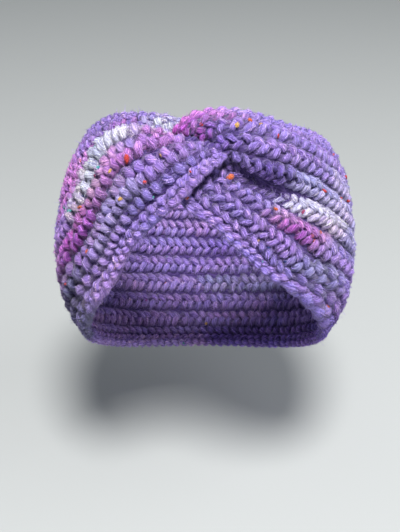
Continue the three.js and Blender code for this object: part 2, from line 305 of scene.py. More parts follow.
# A leg is thinnest inside the cloth and swells towards both faces, and its colour carries painted shade,
# darkest deep inside the cloth
LEG_WAIST = 0.90
LEG_SWELL = 0.16
INNER_SHADE_TONE = 0.48
OUTER_SHADE_LIFT = 0.6
# Painted highlight: the edge cords' colour is made brighter
CORD_HIGHLIGHT_TONE = 1.2
FILLER_RADIUS = 1.9
# Painted shade: the filler yarn between the legs is darkened
FILLER_SHADE_TONE = 0.5
YARN_ROUGH = 0.13

# Least and most that the yarn thins or swells where the stitches crowd or spread
CROWD = (0.74, 1.6)

# How far each measure of a row and of the filler yarn strays, and over how many stitches. A row's radius
# strays with its place across.
STRAYS = {
    "along": (0.9, 0.5), "swing": (0.25, 0.6), "across": (0.5, 0.8), "rise": (0.2, 0.45),
    "drift": (0.8, 1.7),
}
RADIUS_STRAY = 0.24
FILLER_STRAYS = {"across": (0.7, 0.7), "rise": (0.6, 0.9), "radius": (0.15, 0.6)}

# Thin inner cloth, dark with painted shade for the inside of the crochet: thickness and distance from the
# strip's ends, in millimetres, its first place across, points along and across, painted shade tone, and run
# of its pattern
CORE_THICKNESS = 1.6
CORE_REST = 1.5
CORE_EDGE = 0.035
CORE_ROWS = 180
CORE_COLUMNS = 33
CORE_SHADE_TONE = 0.35
CORE_RUN = 0.15

# The stitches lie lower in the valley between two ribs, and their colour is darkened there with painted
# shade: where it starts from the middle of the rib, how wide it is, and what is left of the height and of
# the tone under the painted shade
VALLEY_START = 3.2
VALLEY_WIDTH = 3.2
VALLEY_HEIGHT = 0.72
VALLEY_SHADE_TONE = 0.6

# How far the legs are turned across the rib at the left end and at the right end, in millimetres, and the
# share of the strip over which the left end's fullness goes
TURN_LEFT = 1.0
TURN_RIGHT = -0.5
FULL_SHARE = 0.25

# Where the stitches are pressed in or stand out along the fold at the right end: share of the strip's
# length, place across, reach along and across, and depth in millimetres
DENTS = ((0.95, 0.475, 0.042, 0.05, -3.0), (0.955, 0.585, 0.035, 0.045, 1.8))
# Painted shade in the pressed-in fold: share of the stitches' tone taken away at the middle of a dent
DENT_SHADE = 0.92

# Dyes of the yarn, as linear red, green and blue
DYES = {
    "lavender": (0.32, 0.215, 0.66),
    "lilac": (0.42, 0.265, 0.72),
    "violet": (0.20, 0.115, 0.50),
    "blue_grey": (0.33, 0.30, 0.62),
    "pale": (0.48, 0.43, 0.78),
    "pink": (0.60, 0.22, 0.70),
    "magenta": (0.40, 0.06, 0.43),
    "rose": (0.46, 0.20, 0.50),
    "white": (0.80, 0.82, 1.0),
    "ice": (0.76, 0.72, 0.98),
    "slate": (0.17, 0.15, 0.31),
    "cream": (0.58, 0.53, 0.68),
    "red": (0.62, 0.035, 0.03),
    "orange": (0.70, 0.13, 0.03),
    "yellow": (0.66, 0.38, 0.10),
    "teal": (0.06, 0.34, 0.36),
    "navy": (0.03, 0.06, 0.32),
    "wine": (0.28, 0.03, 0.12),
}

# Dye of each rib from the strip's left end to its right end: where a stretch starts, as a share of the
# strip's length, and its dye. Ribs run from the lower edge to the upper edge.
RIB_DYES = (
    ((0, "lavender"), (0.12, "lilac"), (0.19, "slate"), (0.27, "lilac"), (0.5, "violet"),
     (0.78, "lavender")),
    ((0, "lavender"), (0.07, "blue_grey"), (0.16, "lavender"), (0.19, "slate"), (0.28, "lilac"),
     (0.6, "lavender"), (0.8, "blue_grey"), (0.84, "lavender")),
    ((0, "lilac"), (0.015, "pink"), (0.04, "lilac"), (0.05, "pink"), (0.10, "rose"), (0.12, "magenta"),
     (0.21, "rose"), (0.3, "lavender"), (0.835, "rose"), (0.85, "magenta"), (0.9, "rose"),
     (0.91, "lavender")),
    ((0, "pink"), (0.03, "lilac"), (0.045, "white"), (0.13, "cream"), (0.16, "lilac"), (0.5, "blue_grey"),
     (0.78, "pale"), (0.83, "ice"), (0.93, "lavender")),
    ((0, "white"), (0.04, "lilac"), (0.1, "cream"), (0.13, "pink"), (0.2, "lavender"), (0.76, "pale"),
     (0.92, "blue_grey"), (0.935, "violet"), (0.97, "lavender")),
    ((0, "lavender"), (0.09, "pink"), (0.21, "lavender"), (0.5, "violet"), (0.7, "lavender"),
     (0.8, "pale"), (0.87, "lavender"), (0.98, "violet")),
    ((0, "white"), (0.045, "lavender"), (0.07, "pink"), (0.085, "lavender"), (0.15, "pink"), (0.2, "lilac"),
     (0.6, "lavender"), (0.97, "violet"), (0.992, "magenta")),
    ((0, "lavender"), (0.02, "pale"), (0.06, "lavender"), (0.4, "lilac"), (0.7, "lavender"), (0.93, "lilac"),
     (0.945, "pink"), (0.985, "magenta")),
)

# Millimetres over which one dye blends into the next, and by which its start strays from row to row; the
# share of the next rib's dye in a row; and how much less pale wool darkens under the painted shade, above
# what mean tone
DYE_BLEND = 12.0
DYE_SHIFT = 5.0
DYE_SPREAD = 0.18
PALE_SOFTNESS = 0.75
PALE_TONE = 0.4

# Heathered drift of the dye: how far its tone and its warmth stray, over how many millimetres, and how
# much of the warmth the blue loses
TONE_DRIFTS = ((0.14, 5), (0.10, 23))
WARM_DRIFT = (0.12, 17)
BLUE_LOSS = 0.4

# Bright flecks where the photograph shows them: dye, picture pixels across and down, and length in
# millimetres
FLECKS = (
    ("red", 127, 159, 5.5), ("red", 145, 182, 3.5), ("red", 92, 222, 3.5), ("orange", 87, 252, 3.0),
    ("red", 66, 284, 3.0), ("orange", 81, 161, 2.5), ("wine", 95, 176, 3.0), ("orange", 230, 177, 4.5),
    ("red", 285, 173, 4.0), ("red", 324, 191, 3.5), ("red", 346, 177, 3.0), ("red", 341, 198, 2.5),
    ("red", 348, 201, 2.5), ("red", 333, 155, 2.5), ("red", 304, 229, 5.5), ("orange", 314, 241, 3.0),
    ("wine", 303, 212, 3.5), ("orange", 328, 306, 3.0), ("orange", 276, 209, 3.0), ("red", 240, 154, 3.5),
    ("red", 202, 126, 4.0), ("red", 278, 136, 3.0), ("red", 215, 107, 3.0), ("yellow", 161, 155, 3.0),
    ("yellow", 110, 171, 3.0), ("yellow", 120, 199, 3.0), ("yellow", 237, 125, 3.5),
    ("orange", 250, 120, 3.0), ("yellow", 258, 241, 3.0), ("teal", 98, 168, 4.0),
    ("teal", 70, 211, 4.5), ("teal", 153, 198, 3.0),
    ("navy", 83, 196, 3.0), ("navy", 65, 171, 3.0), ("navy", 268, 247, 3.0), ("navy", 285, 261, 3.5),
    ("orange", 80, 207, 3.5), ("teal", 65, 208, 3.0), ("wine", 312, 236, 3.5), ("orange", 187, 198, 2.5),
)
SCATTERED_FLECKS = 260
SCATTERED_LENGTHS = (1.2, 2.6)
SCATTERED_DYES = ("red", "orange", "yellow", "teal", "navy", "wine", "white", "magenta")

# Shape of a fleck: its width and height as shares of its length, how rough it is, its range of tone, its
# rings and sides, and how fast the wool's pattern runs over it
FLECK_WIDTHS = (0.26, 0.4)
FLECK_HEIGHT = 0.24
FLECK_ROUGH = (0.75, 1.2)
FLECK_TONES = (0.8, 1.15)
FLECK_RINGS = 5
FLECK_SIDES = 7
FLECK_RUN = 1.5

# Fibres that lie along the yarn: their number, steps along the yarn, width in millimetres with its range
# and taper, spread round the yarn in radians, place clear of it and lift off it at the ends, range of
# tone, which makes them paler than the yarn as a painted highlight and varies at random, and stray of dye
# and of twist. Yarn under them is a little darker, as painted shade between the fibres, and no fibre is
# paler than the last value.
FIBRE_PIECES = 2
FIBRE_COUNT = 25000
FIBRE_STEPS = 3
FIBRE_WIDTH = 0.52
FIBRE_WIDTHS = (0.6, 1.2)
FIBRE_TAPER = 0.6
FIBRE_SPREAD = 1.9
FIBRE_CLEAR = 1.02
FIBRE_LIFT = 0.9
FIBRE_HIGHLIGHT_TONES = (0.8, 1.9)
FIBRE_MIX = 0.4
FIBRE_TWIST = 0.35
YARN_SHADE_TONE = 0.78
PALEST = 0.9

# Loose fibres that stand out of the yarn: their number, width and range of length in millimetres, how far
# they stand up, lean and bend, and how much paler they are than the yarn, as a painted highlight
FUZZ_COUNT = 32000
FUZZ_WIDTH = 0.19
FUZZ_LENGTHS = (1.0, 3.6)
FUZZ_RISE = (0.1, 0.8)
FUZZ_LEAN = 0.7
FUZZ_BEND = 0.5
FUZZ_TAPER = 0.6
FUZZ_HIGHLIGHT_TONE = 1.4
FUZZ_HIGHLIGHT_LIFT = 0.05


def rib_dye(rib, along, rng):
    """Dye at places along a rib, with soft changes from one stretch to the next and a heathered drift."""
    starts = [share * STRIP_LENGTH + DYE_SHIFT * rng.uniform(-1, 1) for share, _ in RIB_DYES[rib]]
    colours = np.array([DYES[name] for _, name in RIB_DYES[rib]])
    dye = np.tile(colours[0], (len(along), 1))
    for start, colour in zip(starts[1:], colours[1:]):
        share = np.clip((along - start) / DYE_BLEND + 0.5, 0, 1)[:, None]
        dye = dye * (1 - share) + colour * share
    tone = 1 + sum(far * wander(rng, STRIP_LENGTH, over, along) for far, over in TONE_DRIFTS)
    warm = WARM_DRIFT[0] * wander(rng, STRIP_LENGTH, WARM_DRIFT[1], along)
    return dye * np.stack([tone * (1 + warm), tone, tone * (1 - BLUE_LOSS * warm)], 1)


def row_dye(rib, side, along, rng):
    """Dye of a row on the lower (-1) or upper (1) side of a rib, with some of the rib beside it."""
    beside = min(max(rib + side, 0), RIB_COUNT - 1)
    dye = rib_dye(rib, along, rng)
    return dye + (rib_dye(beside, along, rng) - dye) * DYE_SPREAD


def shaded(dye, shade):
    """Dye darkened by painted shade. Pale wool passes light on and darkens less."""
    pale = np.clip(dye.mean(axis=1) / PALE_TONE - 1, 0, 1)
    return dye * (1 - (1 - shade) * (1 - PALE_SOFTNESS * pale))[:, None]


def wander(rng, length, spacing, places):
    """Smooth random values at places from 0 to length, from -1 to 1, changing over about spacing."""
    knots = rng.uniform(-1, 1, int(length / spacing) + 4)
    x = np.clip(places / spacing + 1, 0, len(knots) - 2)
    i = x.astype(int)
    t = x - i
    t = t * t * (3 - 2 * t)
    return knots[i] * (1 - t) + knots[i + 1] * t


def tube_faces(rings, sides):
    """Quads of a tube and one face over each end."""
    r = np.arange(rings - 1)[:, None] * sides
    k = np.arange(sides)[None]
    n = (k + 1) % sides
    quads = np.stack([r + k, r + n, r + n + sides, r + k + sides], -1).reshape(-1, 4)
    faces = [tuple(f) for f in quads.tolist()]
    faces.append(tuple(reversed(range(sides))))
    faces.append(tuple(range((rings - 1) * sides, rings * sides)))
    return faces


def make_piece(name, points, faces, colours, strand):
    """One mesh object from points in millimetres, with its dye and the run of its fibres on the points. The
    dye carries any painted shade and highlight of the piece.
    """
    mesh = bpy.data.meshes.new(name)
    mesh.from_pydata((points * MM).tolist(), [], faces)
    mesh.update()
    mesh.shade_smooth()
    layer = mesh.attributes.new("dye", "FLOAT_COLOR", "POINT")
    rgba = np.concatenate([colours, np.ones((len(colours), 1))], 1)
    layer.data.foreach_set("color", rgba.astype(np.float32).ravel())
    layer = mesh.attributes.new("strand", "FLOAT_VECTOR", "POINT")
    layer.data.foreach_set("vector", strand.astype(np.float32).ravel())
    piece = bpy.data.objects.new(name, mesh)
    bpy.context.collection.objects.link(piece)
    return piece


class Yarn:
    """A strand of yarn: its centre line, and its radius, rise out of the cloth and dye along the line, with
    painted shade in the dye.
    """

    def __init__(self, path, outward, radius, rise, colours):
        self.path, self.radius, self.rise, self.colours = path, radius, rise, colours
        self.way = unit(np.gradient(path, axis=0))
        self.normal = unit(outward - self.way * np.sum(self.way * outward, axis=1, keepdims=True))
        self.side = np.cross(self.way, self.normal)
        self.length = np.concatenate([[0], np.cumsum(np.linalg.norm(np.diff(path, axis=0), axis=1))])


def yarn_piece(name, yarn, sides, place, rng):
    """Round lobed piece of a strand. The plies show as grooves that turn with the twist, and place sets
    the strand apart from the others in the wool's pattern."""
    angle = np.arange(sides) * 2 * math.pi / sides
    turned = angle[None] + yarn.length[:, None] * PLY_TWIST
    lobes = np.abs(np.cos(YARN_PLIES / 2 * turned))
    rough = 1 + YARN_ROUGH * rng.uniform(-1, 1, lobes.shape)
    reach = yarn.radius[:, None] * (1 - PLY_GROOVE + PLY_GROOVE * lobes) * rough
    up, aside = np.cos(angle)[None, :, None], np.sin(angle)[None, :, None]
    ring = yarn.normal[:, None] * up + yarn.side[:, None] * aside
    points = (yarn.path[:, None] + ring * reach[:, :, None]).reshape(-1, 3)
    thick = np.repeat(yarn.radius, sides)
    run = np.repeat(yarn.length, sides)
    turned = turned.ravel()
    start = place * STRAND_GAP
    strand = np.stack([thick * np.cos(turned), thick * np.sin(turned), run * RUN_SCALE + start], 1)
    # Painted shade: the yarn's body is darkened beneath its lighter fibres
    colours = np.repeat(yarn.colours * YARN_SHADE_TONE, sides, 0)
    return make_piece(name, points, tube_faces(len(yarn.path), sides), colours, strand)


def rib_line(rib):
    """Place across of the middle of a rib, in millimetres."""
    return (rib + 0.5) * RIB_PITCH - EDGE_REACH


def stray(strays, rng, turns):
    """Smooth random strays of each named measure, along a row."""
    return {name: far * wander(rng, STITCH_COUNT, over, turns) for name, (far, over) in strays.items()}


def on_cloth(along, across):
    """Point, outward way and place of the cloth at places along and across, and how the stitches crowd."""
    place, wider = placed(along, across / BAND_WIDTH)
    point, way_along, way_across, outward = cloth(along, place)
    area = np.linalg.norm(np.cross(way_across, way_along), axis=1) * wider
    return point, outward, place, np.clip(np.sqrt(area), *CROWD)


def square_on(along, across, line):
    """Places along the strip moved so that steps away from a line along it are square to it on the
    cloth, also where the cloth is pulled askew."""
    place, wider = placed(along, np.full_like(along, line / BAND_WIDTH))
    _, way_along, way_across, _ = cloth(along, place)
    askew = wider * np.sum(way_across * way_along, axis=1) / np.sum(way_along * way_along, axis=1)
    return along - (across - line) * np.clip(askew, -MOST_ASKEW, MOST_ASKEW)


def row_yarn(centre, line, shape, rib, lean, start, rng):
    """Yarn of one row, which winds through the cloth once a stitch. line is the middle of the rows that
    belong together and lean is 1 or -1."""
    turns = np.linspace(0, STITCH_COUNT, STITCH_COUNT * STEPS_PER_STITCH + 1)
    phase = 2 * math.pi * (turns + start)
    strays = {name: shape["uneven"] * value for name, value in stray(STRAYS, rng, turns).items()}
    share = turns / STITCH_COUNT
    turned = TURN_LEFT + (TURN_RIGHT - TURN_LEFT) * share
    full = shape["full"] + (1 - shape["full"]) * np.clip(share / FULL_SHARE, 0, 1)
    along = turns * STITCH_LENGTH + turned * np.cos(phase) + strays["along"] + strays["drift"]
    swing = shape["swing"] * (1 + strays["swing"])
    across = centre + lean * swing * np.cos(phase) + strays["across"]
    along = np.clip(square_on(along, across, line), END_REST, STRIP_LENGTH - END_REST)
    point, outward, place, crowd = on_cloth(along, across)
    rise = shape["depth"] * np.sin(phase) * (1 + strays["rise"])
    rise = rise + shape["lift"] * np.sin(2 * phase)
    swell = (LEG_WAIST + LEG_SWELL * np.sin(phase) ** 2) * (1 + RADIUS_STRAY * strays["across"])
    radius = shape["radius"] * full * crowd * swell
    # Painted shade: the yarn's colour is darker the deeper it lies in the cloth
    tone = INNER_SHADE_TONE + OUTER_SHADE_LIFT * np.clip(np.abs(rise) / shape["depth"], 0, 1)
    # Painted highlight on the proud edge cords
    if shape is CORD:
        tone = tone * CORD_HIGHLIGHT_TONE
    else:
        valley = np.clip((np.abs(across - rib_line(rib)) - VALLEY_START) / VALLEY_WIDTH, 0, 1)
        rise = rise * (1 - (1 - VALLEY_HEIGHT) * valley)
        # Painted shade in the valleys between ribs
        tone = tone * (1 - (1 - VALLEY_SHADE_TONE) * valley)
    dent, painted_dent_shade = dents(along / STRIP_LENGTH, place)
    path = point + outward * (rise * end_share(along) + dent)[:, None]
    dye = row_dye(rib, 1 if centre > rib_line(rib) else -1, along, rng)
    return Yarn(path, outward, radius, rise, shaded(dye, tone * painted_dent_shade))


def dents(share, place):
    """How far the stitches move out of the cloth, and how much of their tone is left under the painted shade
    in the pressed-in dents.
    """
    move, painted_dent_shade = np.zeros_like(share), np.ones_like(share)
    for at, across, reach, width, depth in DENTS:
        near = np.exp(-(((share - at) / reach) ** 4) - ((place - across) / width) ** 2)
        move += depth * near
        if depth < 0:
            # Painted shade where the stitches are pressed in
            painted_dent_shade *= 1 - DENT_SHADE * near
    return move, painted_dent_shade


def row_plan():
    """Centre and line in millimetres, shape, rib and lean of each row, from the lower edge to the upper."""
    plan = []
    for rib in range(RIB_COUNT):
        line = rib_line(rib)
        plan += [(line + ROW_OFFSET * way, line, LEG, rib, -way) for way in (-1, 1)]
    low, high = plan[1][0] + EDGE_ROW_SHIFT, plan[-2][0] - EDGE_ROW_SHIFT
    plan[1] = (low, low, EDGE_LEG, *plan[1][3:])
    plan[-2] = (high, high, EDGE_LEG, *plan[-2][3:])
    low, high = CORD_INSET, BAND_WIDTH - CORD_INSET
    plan[0:1] = [(low + way * CORD_OFFSET, low, CORD, 0, way) for way in (-1, 1)]
    plan[-1:] = [(high + way * CORD_OFFSET, high, CORD, RIB_COUNT - 1, way) for way in (-1, 1)]
    return plan


def make_rows(rng):
    """The yarn of every row and its piece."""
    yarns, pieces = [], []
    for number, (centre, line, shape, rib, lean) in enumerate(row_plan()):
        start = STAGGER * (number % 2) + rng.uniform(-STAGGER_STRAY, STAGGER_STRAY)
        yarn = row_yarn(centre, line, shape, rib, lean, start, rng)
        yarns.append(yarn)
        pieces.append(yarn_piece(f"stitches_{number + 1:02d}", yarn, YARN_SIDES, number, rng))
    return yarns, pieces


def make_fillers(rng):
    """Yarn that runs along inside each row of legs and fills it."""
    fillers = []
    for row in range(ROW_COUNT):
        rib, side = row // 2, 2 * (row % 2) - 1
        turns = np.linspace(0, STITCH_COUNT, STITCH_COUNT * FILLER_STEPS + 1)
        strays = stray(FILLER_STRAYS, rng, turns)
        along = turns * STITCH_LENGTH
        across = rib_line(rib) + ROW_OFFSET * side + strays["across"]
        point, outward, place, crowd = on_cloth(along, across)
        dent, painted_dent_shade = dents(along / STRIP_LENGTH, place)
        path = point + outward * (strays["rise"] + dent)[:, None]
        radius = FILLER_RADIUS * crowd * (1 + strays["radius"]) * end_share(along)
        dye = row_dye(rib, side, along, rng)
        # Painted shade on the filler yarn between the legs, and more in the dents
        yarn = Yarn(path, outward, radius, turns * 0, shaded(dye, FILLER_SHADE_TONE * painted_dent_shade))
        fillers.append(yarn_piece(f"filler_{row + 1:02d}", yarn, FILLER_SIDES, FILLER_PLACE + row, rng))
    return fillers


def make_core():
    """Thin inner cloth that closes the spaces between the stitches, coloured dark as painted shade inside
    the crochet.
    """
    along = np.linspace(CORE_REST, STRIP_LENGTH - CORE_REST, CORE_ROWS)
    across = np.linspace(CORE_EDGE, 1 - CORE_EDGE, CORE_COLUMNS)
    a, c = [v.ravel() for v in np.meshgrid(along, across, indexing="ij")]
    point, _, _, outward = cloth(a, c)
    half = (CORE_THICKNESS / 2 * end_share(a))[:, None]
    points = np.concatenate([point + outward * half, point - outward * half])
    i = np.arange(len(a)).reshape(CORE_ROWS, CORE_COLUMNS)
    front = np.stack([i[:-1, :-1], i[1:, :-1], i[1:, 1:], i[:-1, 1:]], -1).reshape(-1, 4)
    back = front[:, ::-1] + len(a)
    rim = np.concatenate([i[0, :], i[1:, -1], i[-1, -2::-1], i[-2:0:-1, 0]])
    after = np.roll(rim, -1)
    side = np.stack([rim, after, after + len(a), rim + len(a)], -1)
    faces = [tuple(f) for f in np.concatenate([front, back, side]).tolist()]
    # Painted shade: the inner cloth is a dark violet
    colours = np.tile(np.array(DYES["violet"]) * CORE_SHADE_TONE, (len(points), 1))
    strand = np.tile(np.stack([a * CORE_RUN, c * BAND_WIDTH, a * 0], 1), (2, 1))
    return make_piece("inner_shade_cloth", points, faces, colours, strand)


# Seam inside the twist: whip stitches of yarn round the four ends of cloth. How far it stays inside the
# cloth's edge and inside the fold, its number of stitches and steps in each, the yarn's radius and how
# uneven that is, how far it runs on at each end, how wide it is wound and how much narrower at its ends,
# its tone, and its place in the wool's pattern. The nudge keeps its outward way from being nothing.
SEAM_INSET = 0.04
SEAM_FOLD_INSET = 0.12
SEAM_STITCHES = 8
SEAM_STEPS = 28
SEAM_YARN_RADIUS = 1.9
SEAM_UNEVEN = 0.08
SEAM_UNEVEN_OVER = 0.4
SEAM_END = 4.2
SEAM_END_SHARE = 0.14
SEAM_WIDTH = 0.85
SEAM_NARROWING = 0.3
SEAM_TONE = 0.6
SEAM_PLACE = 99
SEAM_ENDS = 4
SEAM_NUDGE = 0.01


def make_seam(rng):
    """Yarn wound over the four ends of cloth along the seam, narrower where it ends in a fold."""
    fold = PLACES[2]
    share = np.linspace(-SEAM_END_SHARE, 1 + SEAM_END_SHARE, SEAM_STITCHES * SEAM_STEPS + 1)
    inside = np.clip(share, 0, 1)
    across = fold * (SEAM_INSET + (1 - SEAM_INSET - SEAM_FOLD_INSET) * inside)
    ends = [(0, across), (STRIP_LENGTH, 1 - fold + across), (0, 1 - across), (STRIP_LENGTH, fold - across)]
    tips = np.stack([middle(np.full_like(share, along), place) for along, place in ends])
    centre = tips.mean(0)
    turn = (share + SEAM_END_SHARE) * SEAM_STITCHES * SEAM_ENDS
    i = turn.astype(int) % SEAM_ENDS
    t = (turn - turn.astype(int))[:, None]
    n = np.arange(len(share))
    t = t * t * (3 - 2 * t)
    ring = tips[i, n] * (1 - t) + tips[(i + 1) % SEAM_ENDS, n] * t
    beyond = (share - inside) / SEAM_END_SHARE
    run = unit(centre[-1] - centre[0])
    size = SEAM_WIDTH - SEAM_NARROWING * np.abs(beyond)
    path = centre + (ring - centre) * size[:, None] + run * SEAM_END * beyond[:, None]
    colours = np.tile(np.array(DYES["violet"]) * SEAM_TONE, (len(path), 1))
    uneven = SEAM_UNEVEN * wander(rng, SEAM_STITCHES, SEAM_UNEVEN_OVER, inside * SEAM_STITCHES)
    outward = unit(path - centre + SEAM_NUDGE)
    yarn = Yarn(path, outward, SEAM_YARN_RADIUS * (1 + uneven), share, colours)
    return yarn_piece("seam_stitches", yarn, YARN_SIDES, SEAM_PLACE, rng)


def blob():
    """Points and faces of a small round lump."""
    steps, sides = FLECK_RINGS, FLECK_SIDES
    points = [(0, 0, -1)]
    for i in range(1, steps):
        a = math.pi * i / steps
        for k in range(sides):
            b = 2 * math.pi * k / sides
            points.append((math.sin(a) * math.cos(b), math.sin(a) * math.sin(b), -math.cos(a)))
    points.append((0, 0, 1))
    faces = [(0, 1 + (k + 1) % sides, 1 + k) for k in range(sides)]
    for i in range(steps - 2):
        for k in range(sides):
            a, b = 1 + i * sides + k, 1 + i * sides + (k + 1) % sides
            faces.append((a, b, b + sides, a + sides))
    last = len(points) - 1
    faces += [(last, last - sides + k, last - sides + (k + 1) % sides) for k in range(sides)]
    return np.array(points), faces


def surface_of(rows):
    """Points, normals and dyes of all the stitches, in millimetres. The dyes carry the stitches' painted
    shade.
    """
    places, normals, dyes_with_painted_light = [], [], []
    for row in rows:
        mesh = row.data
        count = len(mesh.vertices)
        values = np.empty(count * 3, np.float32)
        mesh.vertices.foreach_get("co", values)
        places.append(values.reshape(-1, 3) / MM)
        values = np.empty(count * 3, np.float32)
        mesh.vertices.foreach_get("normal", values)
        normals.append(values.reshape(-1, 3))
        values = np.empty(count * 4, np.float32)
        mesh.attributes["dye"].data.foreach_get("color", values)
        dyes_with_painted_light.append(values.reshape(-1, 4)[:, :3])
    return [np.concatenate(x).astype(float) for x in (places, normals, dyes_with_painted_light)]


def flecks_in_view(rows, camera):
    """Where the flecks of the photograph meet the stitches: place, outward way, dye and length of each."""
    depsgraph = bpy.context.evaluated_depsgraph_get()
    trees = [BVHTree.FromObject(row, depsgraph) for row in rows]
    turn = camera.rotation_euler.to_matrix()
    found = []
    for dye, across, down, length in FLECKS:
        way = turn @ Vector((across - PICTURE_WIDTH / 2, PICTURE_HEIGHT / 2 - down, -FOCAL_PIXELS))
        hits = [tree.ray_cast(camera.location, way.normalized()) for tree in trees]
        hits = [hit for hit in hits if hit[0] is not None]
        if hits:
            place, normal, _, _ = min(hits, key=lambda hit: hit[3])
            found.append((np.array(place) / MM, np.array(normal), dye, length))
    return found


def make_flecks(rows, camera, rng):
    """Small felted lumps of bright wool caught in the yarn."""
    places, normals, _ = surface_of(rows)
    lumps = flecks_in_view(rows, camera)
    for k in rng.integers(0, len(places), SCATTERED_FLECKS):
        dye = SCATTERED_DYES[rng.integers(len(SCATTERED_DYES))]
        lumps.append((places[k], normals[k], dye, rng.uniform(*SCATTERED_LENGTHS)))
    shape, shape_faces = blob()
    points, faces, colours = [], [], []
    for place, normal, dye, length in lumps:
        way = unit(np.cross(normal, rng.normal(size=3)))
        side = np.cross(normal, way)
        size = length * np.array([0.5, rng.uniform(*FLECK_WIDTHS), FLECK_HEIGHT])
        rough = shape * size * rng.uniform(*FLECK_ROUGH, (len(shape), 1))
        faces += [tuple(i + len(points) for i in f) for f in shape_faces]
        points += list(place + rough[:, :1] * way + rough[:, 1:2] * side + rough[:, 2:] * normal)
        colours += [np.array(DYES[dye]) * rng.uniform(*FLECK_TONES)] * len(shape)
    points = np.array(points)
    return make_piece("wool_flecks", points, faces, np.array(colours), points * FLECK_RUN)


def ribbon_faces(count, rings):
    """Quads of thin ribbons, each with pairs of points from its foot to its tip."""
    start = np.arange(count)[:, None, None] * 2 * rings
    quads = np.array([[2 * k, 2 * k + 1, 2 * k + 3, 2 * k + 2] for k in range(rings - 1)])[None]
    return [tuple(f) for f in (start + quads).reshape(-1, 4).tolist()]


def make_fibres(name, yarns, rng):
    """Fibres that lie along the yarn and lift off it at their ends, each a thin bent ribbon."""
    fields = ("path", "way", "normal", "side", "radius", "length", "rise", "colours")
    stacks = [np.stack([getattr(yarn, field) for yarn in yarns]) for field in fields]
    path, way, normal, side, radius, length, rise, colours = stacks
    row = rng.integers(0, len(yarns), FIBRE_COUNT)
    start = rng.integers(0, path.shape[1] - FIBRE_STEPS - 1, FIBRE_COUNT)
    facing = np.where(rise[row, start + FIBRE_STEPS // 2] > 0, 0, math.pi)
    angle = facing + rng.uniform(-FIBRE_SPREAD, FIBRE_SPREAD, FIBRE_COUNT)
    height = rng.uniform(0, FIBRE_LIFT, FIBRE_COUNT)
    # Painted highlight: each fibre is made paler than its yarn, by a random amount
    tone = rng.uniform(*FIBRE_HIGHLIGHT_TONES, (FIBRE_COUNT, 1))
    width = FIBRE_WIDTH * rng.uniform(*FIBRE_WIDTHS, (FIBRE_COUNT, 1))
    mix = rng.uniform(0, FIBRE_MIX, (FIBRE_COUNT, 1))
    twist = PLY_TWIST + rng.uniform(-FIBRE_TWIST, FIBRE_TWIST, FIBRE_COUNT)
    rings, dyes_with_painted_light = [], []
    for step in range(FIBRE_STEPS + 1):
        n = start + step
        turned = angle - (length[row, n] - length[row, start]) * twist
        around = normal[row, n] * np.cos(turned)[:, None] + side[row, n] * np.sin(turned)[:, None]
        bow = abs(2 * step / FIBRE_STEPS - 1)
        spine = path[row, n] + around * (radius[row, n] * FIBRE_CLEAR + height * bow ** 2)[:, None]
        flat = np.cross(way[row, n], around) * width / 2 * (1 - FIBRE_TAPER * bow)
        rings += [spine - flat, spine + flat]
        dyes_with_painted_light += [(colours[row, n] * (1 - mix) + np.array(DYES["lavender"]) * mix) * tone] * 2
    points = np.stack(rings, 1).reshape(-1, 3)
    dyes_with_painted_light = np.clip(np.stack(dyes_with_painted_light, 1).reshape(-1, 3), 0, PALEST)
    return make_piece(name, points, ribbon_faces(FIBRE_COUNT, FIBRE_STEPS + 1), dyes_with_painted_light, points)


def make_fuzz(rows, rng):
    """Loose fibres that stand out of the yarn, each a thin bent ribbon."""
    places, normals, dyes_with_painted_light = surface_of(rows)
    pick = rng.integers(0, len(places), FUZZ_COUNT)
    place, normal, dye = places[pick], normals[pick], dyes_with_painted_light[pick]
    rise = normal * rng.uniform(*FUZZ_RISE, (FUZZ_COUNT, 1))
    way = unit(rise + FUZZ_LEAN * rng.normal(size=(FUZZ_COUNT, 3)))
    bend = rng.normal(size=(FUZZ_COUNT, 3)) * FUZZ_BEND
    length = rng.uniform(*FUZZ_LENGTHS, (FUZZ_COUNT, 1))
    side = unit(np.cross(way, normal)) * FUZZ_WIDTH / 2
    rings = []
    for share in (0, 0.5, 1):
        spine = place + way * length * share + bend * length * share ** 2 * 0.5
        taper = 1 - FUZZ_TAPER * share
        rings += [spine - side * taper, spine + side * taper]
    points = np.stack(rings, 1).reshape(-1, 3)
    # Painted highlight: loose fibres are made paler than the yarn they stand out of
    colours = np.repeat(np.clip(dye * FUZZ_HIGHLIGHT_TONE + FUZZ_HIGHLIGHT_LIFT, 0, PALEST), len(rings), 0)
    return make_piece("loose_fibres", points, ribbon_faces(FUZZ_COUNT, 3), colours, points)


# Wool's surface, as inputs of the shader
WOOL = {
    "Roughness": 0.9, "Specular IOR Level": 0.2, "Sheen Weight": 0.3, "Sheen Roughness": 0.45,
    "Sheen Tint": (0.92, 0.88, 1.0, 1.0),
}

# Wool's pattern: size and detail of the streaks and of the drift, and the tones that each runs through
# from its low values to its high ones, the outer two first, and the depth of the bump in metres. The dark
# and light tones of the streaks are partly the wool's own pattern and partly painted shade and highlight
# between the fibres
STREAKS = (1.3, 3.0)
DRIFT = (0.3, 2.0)
STREAK_TONES = ((0.34, (0.40, 0.34, 0.50)), (0.66, (1.6, 1.64, 1.45)), (0.5, (0.95, 0.94, 0.97)))
DRIFT_TONES = ((0.3, (0.80, 0.78, 0.92)), (0.7, (1.22, 1.22, 1.08)))
PATTERN_ROUGHNESS = 0.6
STREAK_BUMP = 0.0016


